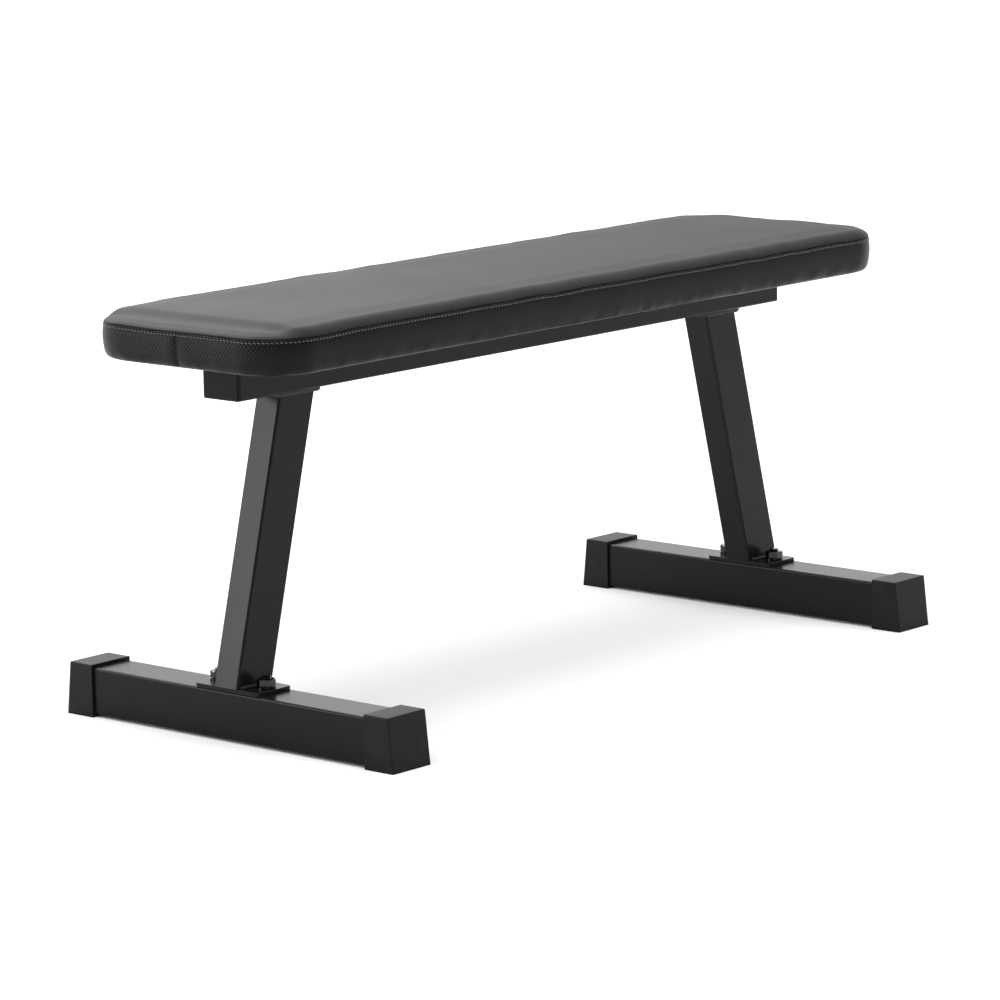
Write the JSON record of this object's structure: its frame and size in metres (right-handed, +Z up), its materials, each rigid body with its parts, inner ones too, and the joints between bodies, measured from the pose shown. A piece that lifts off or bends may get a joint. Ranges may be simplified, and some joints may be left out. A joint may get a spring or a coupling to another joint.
{
  "type": "flat weight bench",
  "caption": "Flat padded weight bench with an upholstered seat on a steel beam, splayed legs and cross feet in rubber end sleeves.",
  "frame": {"origin": "on the floor under the middle of the bench", "axes": "+X along the seat, +Y across it, +Z up"},
  "size_m": [1.001, 0.46, 0.44],
  "materials": {
    "top_vinyl": "satin black smooth vinyl",
    "band_vinyl": "satin black vinyl with a fine woven emboss",
    "foam": "matte polyurethane foam",
    "plywood": "matte plywood",
    "dust_cover": "matte black non-woven",
    "powder_coat": "satin black powder coat",
    "weld": "satin black powder coat over a weld bead",
    "cap_rubber": "matte black moulded rubber",
    "plug_plastic": "matte black moulded plastic",
    "black_fastener": "gloss black coated steel",
    "zinc": "satin zinc plated steel"
  },
  "bodies": {
    "root": {"seat_cover_top": "top_vinyl", "seat_cover_band": "band_vinyl", "seat_foam": "foam", "seat_board": "plywood", "seat_dust_cover": "dust_cover", "cover_staples": "zinc", "tee_nuts": "zinc", "seat_bolts": "black_fastener", "seat_bolt_washers": "black_fastener", "main_beam": "powder_coat", "beam_end_plug_front": "plug_plastic", "leg_front": "powder_coat", "leg_top_weld_front": "weld", "leg_base_weld_front": "weld", "base_plate_front": "powder_coat", "foot_tube_front": "powder_coat", "foot_cap_front_left": "cap_rubber", "foot_cap_front_right": "cap_rubber", "foot_bolts_front": "black_fastener", "foot_nuts_front": "black_fastener", "foot_washers_front": "black_fastener", "beam_end_plug_rear": "plug_plastic", "leg_rear": "powder_coat", "leg_top_weld_rear": "weld", "leg_base_weld_rear": "weld", "base_plate_rear": "powder_coat", "foot_tube_rear": "powder_coat", "foot_cap_rear_left": "cap_rubber", "foot_cap_rear_right": "cap_rubber", "foot_bolts_rear": "black_fastener", "foot_nuts_rear": "black_fastener", "foot_washers_rear": "black_fastener"}
  },
  "joints": []
}
